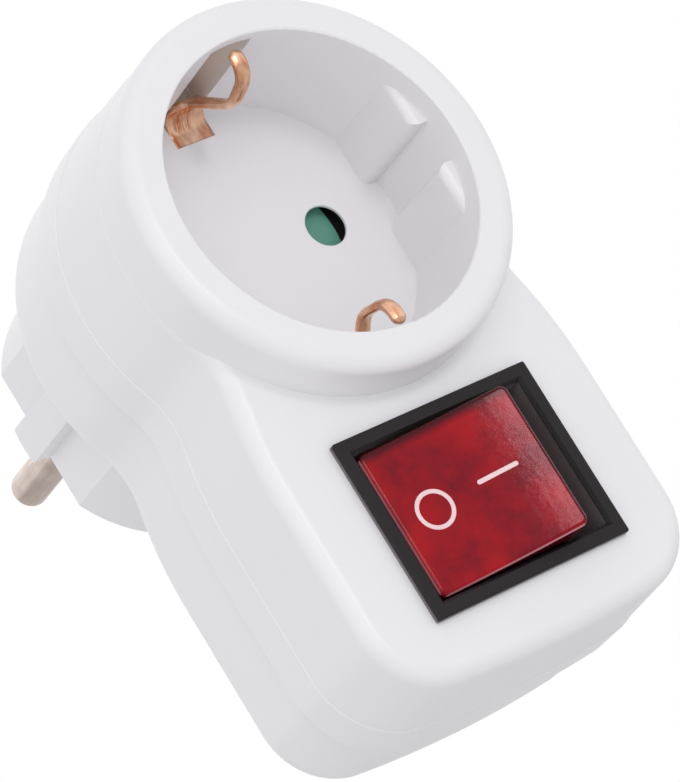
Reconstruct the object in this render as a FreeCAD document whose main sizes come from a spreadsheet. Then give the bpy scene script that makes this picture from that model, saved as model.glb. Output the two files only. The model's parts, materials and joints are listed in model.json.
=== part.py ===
import FreeCAD, Part
import math
import os
import re
import Sketcher

# Switched adapter plug: a wall plug with a socket well in front and a lit rocker switch below it.
# X is the width, +Z runs up along the body, and the pins point along +Y into the wall.
# The origin is the centre of the plug's flat face. A level is a height above that face, along -Y.

doc = FreeCAD.newDocument("AdapterPlug")
sheet = doc.addObject("Spreadsheet::Sheet", "Sizes")

# Driving dimensions in millimetres, and angles in degrees
sizes = [
    # outline of the housing, seen from the front
    ("headRadius", 25.0), ("waistRadius", 12.0), ("sideRadius", 58.0), ("sideStart", 30.7),
    ("blockHalf", 23.9), ("cornerRadius", 10.0), ("bottomRadius", 165.0), ("blockReach", 58.7),
    # levels of the housing
    ("bossDepth", 18.3), ("stepLevel", 31.0), ("faceLevel", 49.7),
    ("rimLevel", 56.3),
    # walls and edges of the housing
    ("shellWall", 2.0), ("faceWall", 2.2), ("rearWall", 2.0), ("faceInset", 0.55),
    ("faceRound", 2.0), ("bandProud", 0.15), ("stepInset", 0.9), ("stepRound", 0.7),
    ("rearRound", 3.0), ("partingRound", 0.3),
    # socket well and collar
    ("collarInset", 0.6), ("collarWall", 4.9), ("collarRoot", 4.0), ("rimRound", 2.0),
    ("mouthRound", 0.25), ("wellDepth", 17.6), ("floorWall", 1.65), ("cupWall", 2.0),
    ("guideDepth", 2.3), ("grooveHalf", 2.75), ("guideDrop", 3.2), ("guideRound", 1.1),
    ("holePitch", 19.0), ("holeRadius", 2.65), ("holeRound", 0.15), ("holeLip", 0.4),
    ("holeBack", 4.2), ("pocketHalf", 2.95), ("pocketTop", 1.6), ("pocketDepth", 2.8),
    ("pocketWall", 1.2),
    # plug boss and pins
    ("bossRadius", 18.7), ("bossFlat", 16.15), ("guideHalf", 2.4), ("bossRound", 1.2),
    ("bossFace", 3.0), ("bossBore", 14.2), ("ledgeLevel", 16.2), ("ledgeBore", 15.1),
    ("pinRadius", 2.4), ("pinLength", 19.0), ("pinRound", 1.1), ("neckRadius", 2.1),
    ("neckEnd", 0.3), ("pinPlay", 0.3), ("flangeRadius", 3.8),
    ("flangeThick", 1.5), ("tailRadius", 1.5), ("tailLevel", 14.6), ("fitClearance", 0.05),
    ("joinDepth", 0.5),
    ("retainerThick", 2.0), ("discClearance", 0.1), ("slotClearance", 0.15),
    # earth strips and clips
    ("stripThick", 0.8), ("stripHalf", 1.5), ("earthSeat", 16.6), ("earthEnd", 1.0), ("stripSide", 0.5),
    ("earthGap", 0.25), ("ringWidth", 3.4), ("ringLevel", 32.6),
    ("clipThick", 0.9), ("tailHalf", 1.5), ("footHalf", 2.75), ("armHalf", 1.0),
    ("footIn", 4.1), ("rootOut", 2.1), ("nipIn", 5.0), ("crestIn", 3.9), ("tipIn", 1.15),
    ("nipDrop", 7.3), ("crestDrop", 2.3), ("tipDrop", 2.1), ("clipBend", 2.2), ("tailInset", 0.8),
    ("neckRise", 1.6), ("neckRun", 1.9), ("ribStart", 1.6), ("ribRise", 2.2), ("ribSide", 0.95),
    ("ribHalf", 0.22), ("ribProud", 0.22),
    # shutter and its cover
    ("shutterGap", 0.3), ("shutterThick", 2.0), ("shutterReach", 11.7), ("shutterAngle", 48.0),
    ("hubRadius", 4.4), ("hubThick", 0.9), ("postRadius", 1.5), ("coverPlay", 1.9),
    ("coverWall", 1.0), ("coverThick", 0.8), ("coverHole", 3.1), ("rampAngle", 12.0),
    ("springWire", 0.35), ("springOuter", 2.3), ("springPlay", 0.1),
    # socket contacts and their carrier
    ("carrierThick", 2.2), ("leafThick", 0.8), ("leafHalf", 2.6), ("leafGap", 2.5),
    ("leafDrop", 3.85), ("leafFlare", 2.4), ("leafRound", 0.9),
    ("wireRow", 6.6), ("notchHalf", 1.5), ("wireInset", 3.3),
    # housing screws
    ("bossScrewRow", 8.5), ("blockScrewRow", 48.65),
    ("tubeRadius", 4.2), ("screwSink", 3.1), ("screwPass", 1.75), ("screwCore", 1.2),
    ("pillarRadius", 2.7), ("screwSeat", 16.0), ("blockSeat", 26.5), ("seatThick", 2.2),
    ("screwHead", 2.75), ("headThick", 1.9), ("screwLength", 12.0), ("driveRadius", 1.3), ("driveHalf", 0.3),
    # switch
    ("switchRow", 39.1), ("bodyHalf", 13.6), ("bodyRise", 10.8), ("bodyLevel", 29.0),
    ("bodyFloor", 1.6), ("bodyWall", 1.1), ("bezelLip", 0.8), ("bezelThick", 1.0),
    ("bezelRound", 0.15), ("bezelCorner", 0.25), ("mouthBevel", 0.4), ("cutClearance", 0.1),
    ("snapReach", 0.6), ("snapHalf", 3.0), ("snapDrop", 2.6),
    ("pivotDrop", 10.4), ("pivotRadius", 1.5), ("restTilt", 10.0),
    ("capInset", 2.2), ("capPlay", 0.3), ("capTop", 12.0), ("capFoot", 3.0), ("dishRadius", 106.0),
    ("dishDepth", 0.5), ("capWall", 1.3), ("capRound", 0.5), ("capCorner", 1.0),
    ("cradleTop", 6.6), ("cradlePlate", 1.6),
    ("cradleHalf", 4.0), ("cradleRise", 7.0), ("pivotInset", 0.2),
    ("cradleFoot", 2.2), ("plungerRow", 4.5), ("plungerBore", 1.35),
    ("plungerRadius", 1.25), ("plungerReach", 6.2), ("plungerTop", 0.4),
    ("boreTop", 4.0), ("coilWire", 0.3), ("coilTurns", 5.0), ("coilRadius", 1.0),
    ("lampRadius", 1.7), ("lampHalf", 5.0), ("lampRow", 2.5), ("lampLevel", 8.3),
    ("resistorRadius", 1.1), ("resistorRow", 5.0), ("resistorCore", 0.9), ("resistorCap", 1.3),
    ("resistorHalf", 3.2), ("seesawThick", 0.8), ("seesawHalf", 1.9),
    ("seesawLeft", 9.6), ("seesawRight", 7.5), ("seesawLevel", 32.95), ("seesawTilt", 7.0),
    ("saddleRadius", 0.6), ("saddleRise", 0.25),
    ("buttonRadius", 1.3), ("buttonThick", 0.6), ("bladeThick", 0.8), ("bladeHalf", 2.0),
    ("bladeEnd", 22.6), ("fixedRow", 8.5), ("fixedTop", 31.15), ("headHalf", 1.3),
    # wires
    ("wireRadius", 1.1), ("wireLift", 1.9), ("runGap", 2.3), ("solderLevel", 10.0),
    ("wireSide", 11.8), ("wireDrop", 4.8), ("wireLead", 3.5),
]
for row, (alias, number) in enumerate(sizes, start=1):
    sheet.set("A%d" % row, alias)
    sheet.set("B%d" % row, str(number))
    sheet.setAlias("B%d" % row, alias)
doc.recompute()

# Sizes that follow from the others, as sums of them
follows = {
    "partingLevel": "rimLevel - wellDepth - floorWall",
    "leafTop": "partingLevel - leafDrop",
    "nipRise": "wellDepth - nipDrop",
    "crestRise": "wellDepth - crestDrop",
    "tipRise": "wellDepth - tipDrop",
    "runLevel": "bossDepth + rearWall + runGap",
    "wireLevel": "runLevel + wireLift",
    "collarRadius": "headRadius - collarInset",
    "wellRadius": "collarRadius - collarWall",
    "cupRadius": "wellRadius + cupWall",
    "guideFlat": "wellRadius - guideDepth",
    "pocketReach": "wellRadius + pocketDepth",
    "ringOuter": "earthSeat + stripThick",
    "ringInner": "ringOuter - ringWidth",
    "footFront": "wellRadius - footIn",
    "tailRow": "footFront + tailInset + clipThick",
    "clipRoot": "wellRadius + rootOut",
    "clipNip": "wellRadius - nipIn",
    "clipCrest": "wellRadius - crestIn",
    "clipTip": "wellRadius - tipIn",
    "coverRadius": "tailRow - coverPlay",
    "wireBack": "bossBore - wireInset",
    "notchTop": "wireBack - notchHalf",
    "blockScrewHalf": "bodyHalf + snapReach + pillarRadius",
    "bezelHalf": "bodyHalf + bezelLip",
    "bezelRise": "bodyRise + bezelLip",
    "openHalf": "bodyHalf - bodyWall",
    "openRise": "bodyRise - bodyWall",
    "capHalf": "openHalf - capInset",
    "capRise": "openRise - capPlay",
    "pivotReach": "bodyRise - pivotInset",
}

# Levels that follow from the others
floorLevel = "(rimLevel - wellDepth)"
coverFloor = "(partingLevel - 2 * shutterGap - shutterThick)"
carrierTop = "(ledgeLevel + carrierThick)"
bezelTop = "(faceLevel + bezelThick)"
pivotLevel = "(faceLevel + bezelThick - pivotDrop)"

BEND_SHARE = 0.45
aliases = {alias for alias, number in sizes}
X_AXIS = FreeCAD.Vector(1, 0, 0)
Z_AXIS = FreeCAD.Vector(0, 0, 1)
pieces = {}


def size(alias):
    if alias not in follows:
        return float(sheet.get(alias))
    terms = re.findall(r"([+-]?) *([A-Za-z]+)", follows[alias])
    return sum(-size(name) if sign == "-" else size(name) for sign, name in terms)


def inSheet(text):
    # every alias in an expression gets the name of its sheet, and sizes that follow are written out
    def full(word):
        if word in follows:
            return "(%s)" % inSheet(follows[word])
        return "Sizes." + word if word in aliases else word
    return re.sub(r"[A-Za-z]+", lambda match: full(match.group()), text)


def bind(thing, **links):
    for path, text in links.items():
        thing.setExpression(path.replace("_", "."), inSheet(text))


def keep(name, thing):
    thing.Label = name
    pieces[name] = thing
    return thing


# Part primitives that stand on a level

def stand(thing, x, z, level):
    thing.Placement = FreeCAD.Placement(FreeCAD.Vector(), FreeCAD.Rotation(X_AXIS, 90))
    bind(thing, Placement_Base_x=x, Placement_Base_y="-(%s)" % level, Placement_Base_z=z)
    return thing


def block(name, x0, x1, z0, z1, low, high):
    thing = doc.addObject("Part::Box", name)
    bind(thing, Length="(%s) - (%s)" % (x1, x0), Width="(%s) - (%s)" % (z1, z0),
         Height="(%s) - (%s)" % (high, low))
    return stand(thing, x0, z0, low)


def post(name, x, z, low, high, radius):
    thing = doc.addObject("Part::Cylinder", name)
    bind(thing, Radius=radius, Height="(%s) - (%s)" % (high, low))
    return stand(thing, x, z, low)


def fuse(name, things):
    thing = doc.addObject("Part::MultiFuse", name)
    thing.Shapes = things
    return thing


def cut(name, base, tools):
    thing = doc.addObject("Part::Cut", name)
    thing.Base = base
    thing.Tool = tools[0] if len(tools) == 1 else fuse(name + "_tools", tools)
    return thing


# Sketches and features of the bodies

def newBody(name):
    body = doc.addObject("PartDesign::Body", name)
    return keep(name, body)


def sketchOn(body, name, plane, level=None):
    sketch = body.newObject("Sketcher::SketchObject", name)
    origin = [part for part in body.Origin.OriginFeatures if part.Role == plane][0]
    sketch.AttachmentSupport = [(origin, "")]
    sketch.MapMode = "FlatFace"
    if level:
        bind(sketch, AttachmentOffset_Base_z=level)
    return sketch


def pin(sketch, geo, pos, x, y):
    # ties a sketch point to two expressions
    for kind, axis, text in (("DistanceX", -2, x), ("DistanceY", -1, y)):
        if text == "0":
            sketch.addConstraint(Sketcher.Constraint("PointOnObject", geo, pos, axis))
        else:
            index = sketch.addConstraint(Sketcher.Constraint(kind, -1, 1, geo, pos, 1.0))
            sketch.setExpression("Constraints[%d]" % index, inSheet(text))


def polygon(sketch, corners):
    first = sketch.GeometryCount
    count = len(corners)
    for i in range(count):
        a = 2 * math.pi * i / count
        b = 2 * math.pi * (i + 1) / count
        start = FreeCAD.Vector(math.cos(a), math.sin(a), 0)
        end = FreeCAD.Vector(math.cos(b), math.sin(b), 0)
        sketch.addGeometry(Part.LineSegment(start, end))
    for i in range(count):
        j = (i + 1) % count
        sketch.addConstraint(Sketcher.Constraint("Coincident", first + i, 2, first + j, 1))
    for i, (x, y) in enumerate(corners):
        pin(sketch, first + i, 1, x, y)


def rectangle(sketch, x0, x1, y0, y1):
    polygon(sketch, [(x0, y0), (x1, y0), (x1, y1), (x0, y1)])


def circle(sketch, x, y, radius):
    geo = sketch.addGeometry(Part.Circle(FreeCAD.Vector(1, 1, 0), Z_AXIS, 1.0))
    pin(sketch, geo, 3, x, y)
    index = sketch.addConstraint(Sketcher.Constraint("Radius", geo, 1.0))
    sketch.setExpression("Constraints[%d]" % index, inSheet(radius))


def outline(sketch, inset):
    # the housing's outline, drawn inset from its outer edge: head, waists, sides, corners and bottom
    d = sum(sign * size(alias) for sign, alias in inset)
    insetText = " ".join("%s %s" % ("+" if sign > 0 else "-", alias) for sign, alias in inset)
    insetText = insetText or "0 * headRadius"
    head = size("headRadius")
    waist = size("waistRadius")
    side = size("sideRadius")
    corner = size("cornerRadius")
    bottom = size("bottomRadius")
    half = size("blockHalf")
    # centres on the right-hand side, and the directions in which neighbouring arcs meet
    sideCentre = FreeCAD.Vector(half - side, -size("sideStart"), 0)
    gap = sideCentre.Length
    along = ((head + waist) ** 2 - (side + waist) ** 2 + gap ** 2) / (2 * gap)
    across = math.sqrt((head + waist) ** 2 - along ** 2)
    toSide = sideCentre.normalize()
    waistCentre = toSide * along + FreeCAD.Vector(-toSide.y, toSide.x, 0) * across
    sideCentre = FreeCAD.Vector(half - side, -size("sideStart"), 0)
    bottomCentre = FreeCAD.Vector(0, bottom - size("blockReach"), 0)
    drop = math.sqrt((bottom - corner) ** 2 - (half - corner) ** 2)
    cornerCentre = FreeCAD.Vector(half - corner, bottomCentre.y - drop, 0)
    headTurn = math.atan2(waistCentre.y, waistCentre.x)
    sideTurn = math.atan2(waistCentre.y - sideCentre.y, waistCentre.x - sideCentre.x)
    cornerTurn = math.atan2(-drop, half - corner)

    def arc(centre, radius, start, end):
        ring = Part.Circle(centre, Z_AXIS, radius)
        return sketch.addGeometry(Part.ArcOfCircle(ring, start, end))

    def mirrored(v):
        return FreeCAD.Vector(-v.x, v.y, 0)

    def line(x, y0, y1):
        return sketch.addGeometry(Part.LineSegment(FreeCAD.Vector(x, y0, 0), FreeCAD.Vector(x, y1, 0)))

    half -= d
    arc(FreeCAD.Vector(), head - d, headTurn, math.pi - headTurn)
    arc(mirrored(waistCentre), waist + d, -sideTurn, -headTurn)
    arc(mirrored(sideCentre), side - d, math.pi - sideTurn, math.pi)
    line(-half, sideCentre.y, cornerCentre.y)
    arc(mirrored(cornerCentre), corner - d, math.pi, math.pi - cornerTurn)
    arc(bottomCentre, bottom - d, math.pi - cornerTurn, 2 * math.pi + cornerTurn)
    arc(cornerCentre, corner - d, cornerTurn, 0)
    line(half, cornerCentre.y, sideCentre.y)
    arc(sideCentre, side - d, 0, sideTurn)
    arc(waistCentre, waist + d, math.pi + headTurn, math.pi + sideTurn)

    joints = [(0, 2, 1, 2), (1, 1, 2, 1), (2, 2, 3, 1), (3, 2, 4, 1), (4, 2, 5, 1),
              (5, 2, 6, 1), (6, 2, 7, 1), (7, 2, 8, 1), (8, 2, 9, 2), (9, 1, 0, 1)]
    for joint in joints:
        sketch.addConstraint(Sketcher.Constraint("Tangent", *joint))
    sketch.addConstraint(Sketcher.Constraint("Coincident", 0, 3, -1, 1))
    sketch.addConstraint(Sketcher.Constraint("Vertical", 3))
    sketch.addConstraint(Sketcher.Constraint("Vertical", 7))
    sketch.addConstraint(Sketcher.Constraint("PointOnObject", 5, 3, -2))
    radii = [(0, "headRadius -(%s)", head - d), (1, "waistRadius +(%s)", waist + d),
             (9, "waistRadius +(%s)", waist + d), (2, "sideRadius -(%s)", side - d),
             (8, "sideRadius -(%s)", side - d), (4, "cornerRadius -(%s)", corner - d),
             (6, "cornerRadius -(%s)", corner - d), (5, "bottomRadius -(%s)", bottom - d)]
    for geo, text, value in radii:
        index = sketch.addConstraint(Sketcher.Constraint("Radius", geo, value))
        sketch.setExpression("Constraints[%d]" % index, inSheet(text % insetText))
    places = [("DistanceX", 3, 1, "-(blockHalf -(%s))" % insetText, -half),
              ("DistanceX", 7, 1, "blockHalf -(%s)" % insetText, half),
              ("DistanceY", 2, 3, "-sideStart", sideCentre.y),
              ("DistanceY", 8, 3, "-sideStart", sideCentre.y),
              ("DistanceY", 5, 3, "bottomRadius - blockReach", bottomCentre.y)]
    for kind, geo, pos, text, value in places:
        index = sketch.addConstraint(Sketcher.Constraint(kind, -1, 1, geo, pos, value))
        sketch.setExpression("Constraints[%d]" % index, inSheet(text))


def pad(body, sketch, length, midplane=False):
    feature = body.newObject("PartDesign::Pad", sketch.Name + "_pad")
    feature.Profile = sketch
    feature.Midplane = midplane
    bind(feature, Length=length)
    doc.recompute()
    return feature


def pocket(body, sketch, length, away=False):
    # cuts towards the plug's face, or away from it
    before = body.Shape.Volume
    feature = body.newObject("PartDesign::Pocket", sketch.Name + "_pocket")
    feature.Profile = sketch
    feature.Reversed = away
    bind(feature, Length=length)
    doc.recompute()
    if body.Shape.Volume > before - 1e-6:
        raise RuntimeError("nothing cut by " + feature.Name)
    return feature


def dress(body, kind, name, radius, test):
    # rounds or bevels the edges that pass the test
    base = body.Tip
    names = ["Edge%d" % (i + 1) for i, edge in enumerate(base.Shape.Edges) if test(edge)]
    if not names:
        raise RuntimeError("no edge for " + name)
    feature = body.newObject("PartDesign::" + kind, name)
    feature.Base = (base, names)
    bind(feature, **{"Radius" if kind == "Fillet" else "Size": radius})
    doc.recompute()
    return feature


def atLevel(edge, level, within=1e-3):
    box = edge.BoundBox
    return abs(box.YMin + level) < within and abs(box.YMax + level) < within


def reach(edge):
    # distance of the edge's first point from the socket's axis
    point = edge.Vertexes[0].Point
    return math.hypot(point.x, point.z)


def onGuide(edge, top):
    # the front edge of a guide pad's flat, and its edge along the groove
    middle = edge.CenterOfMass
    groove = edge.BoundBox.YLength > 1.0 and abs(abs(middle.z) - size("grooveHalf")) < 1e-3
    return abs(abs(middle.x) - size("guideFlat")) < 1e-3 and (groove or atLevel(edge, top))


# Front shell: drafted outline, rounded face, collar with the socket well, hollow from behind

def frontShell():
    body = newBody("front_shell")
    low = sketchOn(body, "front_parting", "XZ_Plane", "partingLevel")
    outline(low, [])
    high = sketchOn(body, "front_face", "XZ_Plane", "faceLevel")
    outline(high, [(1, "faceInset")])
    loft = body.newObject("PartDesign::AdditiveLoft", "front_loft")
    loft.Profile = low
    loft.Sections = [high]
    loft.Ruled = True
    doc.recompute()
    face = size("faceLevel")
    dress(body, "Fillet", "face_round", "faceRound", lambda e: atLevel(e, face))

    collar = sketchOn(body, "collar", "XZ_Plane", "faceLevel - collarRoot")
    circle(collar, "0", "0", "collarRadius")
    pad(body, collar, "rimLevel - faceLevel + collarRoot")

    well = sketchOn(body, "well", "XZ_Plane", "rimLevel")
    circle(well, "0", "0", "wellRadius")
    pocket(body, well, "wellDepth")

    hollow = sketchOn(body, "front_hollow", "XZ_Plane", "partingLevel")
    outline(hollow, [(1, "faceInset"), (1, "shellWall")])
    circle(hollow, "0", "0", "cupRadius")
    pocket(body, hollow, "faceLevel - faceWall - partingLevel", away=True)

    rim = size("rimLevel")
    dress(body, "Fillet", "rim_round", "rimRound",
          lambda e: atLevel(e, rim) and reach(e) > (size("wellRadius") + size("collarRadius")) / 2)
    dress(body, "Fillet", "mouth_round", "mouthRound",
          lambda e: atLevel(e, rim) and reach(e) < (size("wellRadius") + size("collarRadius")) / 2)

    guides = sketchOn(body, "guides", "XZ_Plane", "rimLevel - wellDepth - floorWall / 2")
    tall = "sqrt(wellRadius ^ 2 - guideFlat ^ 2) + fitClearance"
    for sideways in ("", "-"):
        for upright in ("", "-"):
            rectangle(guides, "%sguideFlat" % sideways, "%s(wellRadius + joinDepth)" % sideways,
                      "%sgrooveHalf" % upright, "%s(%s)" % (upright, tall))
    pad(body, guides, "wellDepth + floorWall / 2 - guideDrop")
    guideTop = size("rimLevel") - size("guideDrop")
    dress(body, "Fillet", "guide_round", "guideRound", lambda e: onGuide(e, guideTop))

    backs = sketchOn(body, "pocket_backs", "XZ_Plane", "partingLevel")
    for upright in ("", "-"):
        rectangle(backs, "-(pocketHalf + pocketWall)", "pocketHalf + pocketWall",
                  "%s(cupRadius - joinDepth)" % upright, "%s(pocketReach + pocketWall / 2)" % upright)
    pad(body, backs, "faceLevel - faceWall - partingLevel + joinDepth")
    pockets = sketchOn(body, "clip_pockets", "XZ_Plane", "rimLevel - pocketTop")
    for upright in ("", "-"):
        rectangle(pockets, "-pocketHalf", "pocketHalf",
                  "%s(guideFlat + joinDepth)" % upright, "%spocketReach" % upright)
    pocket(body, pockets, "wellDepth - pocketTop")
    feet = sketchOn(body, "clip_feet", "XZ_Plane", "rimLevel - wellDepth")
    for upright in ("", "-"):
        rectangle(feet, "-(footHalf + fitClearance)", "footHalf + fitClearance",
                  "%s(footFront - fitClearance)" % upright, "%spocketReach" % upright)
    pocket(body, feet, "clipThick")

    holes = sketchOn(body, "floor_holes", "XZ_Plane", "rimLevel - wellDepth")
    for sideways in ("", "-"):
        circle(holes, "%sholePitch / 2" % sideways, "0", "holeRadius")
    for upright in ("", "-"):
        rectangle(holes, "-(tailHalf + slotClearance)", "tailHalf + slotClearance",
                  "%s(tailRow - clipThick / 2 - slotClearance)" % upright,
                  "%s(tailRow + clipThick / 2 + slotClearance)" % upright)
    pocket(body, holes, "floorWall")
    backs = sketchOn(body, "hole_backs", "XZ_Plane", "partingLevel")
    for sideways in ("", "-"):
        circle(backs, "%sholePitch / 2" % sideways, "0", "holeBack")
    pocket(body, backs, "floorWall - holeLip", away=True)
    floor = size("rimLevel") - size("wellDepth")
    dress(body, "Fillet", "hole_round", "holeRound",
          lambda e: atLevel(e, floor) and abs(e.BoundBox.XLength - 2 * size("holeRadius")) < 1e-3)

    gate = sketchOn(body, "switch_gate", "XZ_Plane", "faceLevel")
    rectangle(gate, "-(bodyHalf + cutClearance)", "bodyHalf + cutClearance",
              "-(switchRow + bodyRise + cutClearance)", "-(switchRow - bodyRise - cutClearance)")
    pocket(body, gate, "faceWall")

    # pillars for the screws, with their cores, and the shutter's post
    pillars = sketchOn(body, "boss_pillars", "XZ_Plane", "screwSeat + seatThick")
    for upright in ("", "-"):
        circle(pillars, "0", "%sbossScrewRow" % upright, "pillarRadius")
    pad(body, pillars, "partingLevel + floorWall / 2 - screwSeat - seatThick")
    stands = sketchOn(body, "block_pillars", "XZ_Plane", "blockSeat + seatThick")
    for sideways in ("", "-"):
        circle(stands, "%sblockScrewHalf" % sideways, "-blockScrewRow", "pillarRadius")
    pad(body, stands, "faceLevel - faceWall / 2 - blockSeat - seatThick")
    cores = sketchOn(body, "boss_cores", "XZ_Plane", "screwSeat + seatThick")
    for upright in ("", "-"):
        circle(cores, "0", "%sbossScrewRow" % upright, "screwCore")
    pocket(body, cores, "screwLength", away=True)
    bores = sketchOn(body, "block_cores", "XZ_Plane", "blockSeat + seatThick")
    for sideways in ("", "-"):
        circle(bores, "%sblockScrewHalf" % sideways, "-blockScrewRow", "screwCore")
    pocket(body, bores, "screwLength", away=True)
    spindle = sketchOn(body, "shutter_axle", "XZ_Plane", coverFloor)
    circle(spindle, "0", "0", "postRadius")
    pad(body, spindle, "partingLevel + floorWall / 2 - (%s)" % coverFloor)


# Rear shell: edge band, step, rounded back, plug boss with flats and guide ribs, screw tubes

def rearShell():
    body = newBody("rear_shell")
    band = sketchOn(body, "band", "XZ_Plane", "stepLevel")
    outline(band, [(-1, "bandProud")])
    pad(body, band, "partingLevel - stepLevel")
    step = size("stepLevel")
    parting = size("partingLevel")
    back = size("bossDepth")
    dress(body, "Fillet", "step_round", "stepRound", lambda e: atLevel(e, step))
    dress(body, "Chamfer", "parting_bevel", "partingRound", lambda e: atLevel(e, parting))
    tub = sketchOn(body, "tub", "XZ_Plane", "bossDepth")
    outline(tub, [(1, "stepInset")])
    pad(body, tub, "stepLevel + stepRound - bossDepth")
    dress(body, "Fillet", "rear_round", "rearRound", lambda e: atLevel(e, back))

    boss = sketchOn(body, "boss", "XZ_Plane")
    circle(boss, "0", "0", "bossRadius")
    pad(body, boss, "bossDepth + rearWall / 2")
    sides = sketchOn(body, "boss_sides", "XZ_Plane")
    flatEnd = "sqrt(bossRadius ^ 2 - bossFlat ^ 2) + joinDepth"
    for sideways in ("", "-"):
        for upright in ("", "-"):
            rectangle(sides, "%sbossFlat" % sideways, "%s(bossRadius + joinDepth)" % sideways,
                      "%sguideHalf" % upright, "%s(%s)" % (upright, flatEnd))
    for upright in ("", "-"):
        rectangle(sides, "-(stripHalf + stripSide)", "stripHalf + stripSide",
                  "%searthSeat" % upright, "%s(bossRadius + joinDepth)" % upright)
    pocket(body, sides, "bossDepth", away=True)
    dress(body, "Fillet", "boss_round", "bossRound", lambda e: atLevel(e, 0.0))

    hollow = sketchOn(body, "rear_hollow", "XZ_Plane", "partingLevel")
    outline(hollow, [(1, "stepInset"), (1, "shellWall")])
    pocket(body, hollow, "partingLevel - bossDepth - rearWall")
    ledge = sketchOn(body, "ledge", "XZ_Plane", "bossDepth + rearWall")
    circle(ledge, "0", "0", "ledgeBore")
    pocket(body, ledge, "bossDepth + rearWall - ledgeLevel")
    bore = sketchOn(body, "boss_bore", "XZ_Plane", "ledgeLevel")
    circle(bore, "0", "0", "bossBore")
    pocket(body, bore, "ledgeLevel - bossFace")

    tubes = sketchOn(body, "boss_tubes", "XZ_Plane", "bossFace / 2")
    for upright in ("", "-"):
        circle(tubes, "0", "%sbossScrewRow" % upright, "tubeRadius")
    pad(body, tubes, "screwSeat + seatThick - bossFace / 2")
    legs = sketchOn(body, "block_tubes", "XZ_Plane", "bossDepth + rearWall / 2")
    for sideways in ("", "-"):
        circle(legs, "%sblockScrewHalf" % sideways, "-blockScrewRow", "tubeRadius")
    pad(body, legs, "blockSeat + seatThick - bossDepth - rearWall / 2")

    openings = [
        ("boss_sinks", "0", "screwSeat", [("0", "bossScrewRow"), ("0", "-bossScrewRow")], "screwSink"),
        ("boss_passes", "0", "screwSeat + seatThick", [("0", "bossScrewRow"), ("0", "-bossScrewRow")],
         "screwPass"),
        ("block_sinks", "bossDepth", "blockSeat - bossDepth",
         [("blockScrewHalf", "-blockScrewRow"), ("-blockScrewHalf", "-blockScrewRow")], "screwSink"),
        ("block_passes", "bossDepth", "blockSeat + seatThick - bossDepth",
         [("blockScrewHalf", "-blockScrewRow"), ("-blockScrewHalf", "-blockScrewRow")], "screwPass"),
        ("pin_holes", "0", "bossFace", [("holePitch / 2", "0"), ("-holePitch / 2", "0")],
         "pinRadius + pinPlay"),
    ]
    for name, level, depth, centres, radius in openings:
        sketch = sketchOn(body, name, "XZ_Plane", None if level == "0" else level)
        for x, z in centres:
            circle(sketch, x, z, radius)
        pocket(body, sketch, depth, away=True)
    slots = sketchOn(body, "earth_slots", "XZ_Plane", "bossDepth")
    for upright in ("", "-"):
        rectangle(slots, "-(stripHalf + stripSide)", "stripHalf + stripSide",
                  "%searthSeat" % upright, "%s(earthSeat + stripThick + earthGap)" % upright)
    pocket(body, slots, "rearWall", away=True)


# Strips, wires and coils along a path

def bent(points, most=None):
    # straight runs joined by tangent arcs: the edges and the radii of the arcs
    edges = []
    radii = []
    start = points[0]
    for before, corner, after in zip(points, points[1:], points[2:]):
        into = corner - before
        out = after - corner
        shorter = min(into.Length, out.Length)
        halfTurn = into.getAngle(out) / 2
        radius = BEND_SHARE * shorter / math.tan(halfTurn)
        if most:
            radius = min(radius, most)
        run = radius * math.tan(halfTurn)
        into.normalize()
        out.normalize()
        inward = (out - into).normalize()
        first = corner - into * run
        last = corner + out * run
        middle = corner + inward * (radius / math.cos(halfTurn) - radius)
        edges.append(Part.LineSegment(start, first).toShape())
        edges.append(Part.Arc(first, middle, last).toShape())
        radii.append(radius)
        start = last
    edges.append(Part.LineSegment(start, points[-1]).toShape())
    return edges, radii


def computed(name, shape, placement=None):
    thing = doc.addObject("Part::Feature", name)
    thing.Shape = shape
    if placement:
        thing.Placement = placement
    return thing


def strip(points, x0, x1, thick, most):
    # sheet of even thickness, bent in a plane across X; each point is (Z, level)
    path = [FreeCAD.Vector((x0 + x1) / 2, -level, z) for z, level in points]
    edges, radii = bent(path, most)
    ahead = (path[1] - path[0]).normalize()
    side = ahead.cross(X_AXIS) * (thick / 2)
    half = X_AXIS * ((x1 - x0) / 2)
    start = path[0]
    corners = [start - half - side, start + half - side, start + half + side, start - half + side]
    profile = Part.makePolygon(corners + corners[:1])
    return Part.Wire(edges).makePipeShell([profile], True, False)


def wire(name, points):
    # round wire; each point is (X, level, Z)
    path = [FreeCAD.Vector(x, -level, z) for x, level, z in points]
    edges, radii = bent(path)
    radius = size("wireRadius")
    profile = Part.Wire(Part.Circle(path[0], path[1] - path[0], radius).toShape())
    run = Part.Wire(edges)
    shape = run.makePipeShell([profile], True, False)
    section = math.pi * radius ** 2
    print(name, "bend radii", [round(r, 2) for r in radii],
          "volume ratio", round(shape.Volume / (section * run.Length), 4))
    keep(name, computed(name, shape))


def coil(radius, thick, low, high, turns, row=0.0):
    # helix round a line along Y, between two levels of its centre line
    helix = Part.makeHelix((high - low) / turns, high - low, radius)
    section = Part.Circle(FreeCAD.Vector(radius, 0, 0), FreeCAD.Vector(0, 1, 0), thick / 2)
    profile = Part.Wire(section.toShape())
    shape = Part.Wire(helix.Edges).makePipeShell([profile], True, True)
    place = FreeCAD.Placement(FreeCAD.Vector(0, -low, row), FreeCAD.Rotation(X_AXIS, 90))
    return shape.transformed(place.toMatrix(), True)


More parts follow.
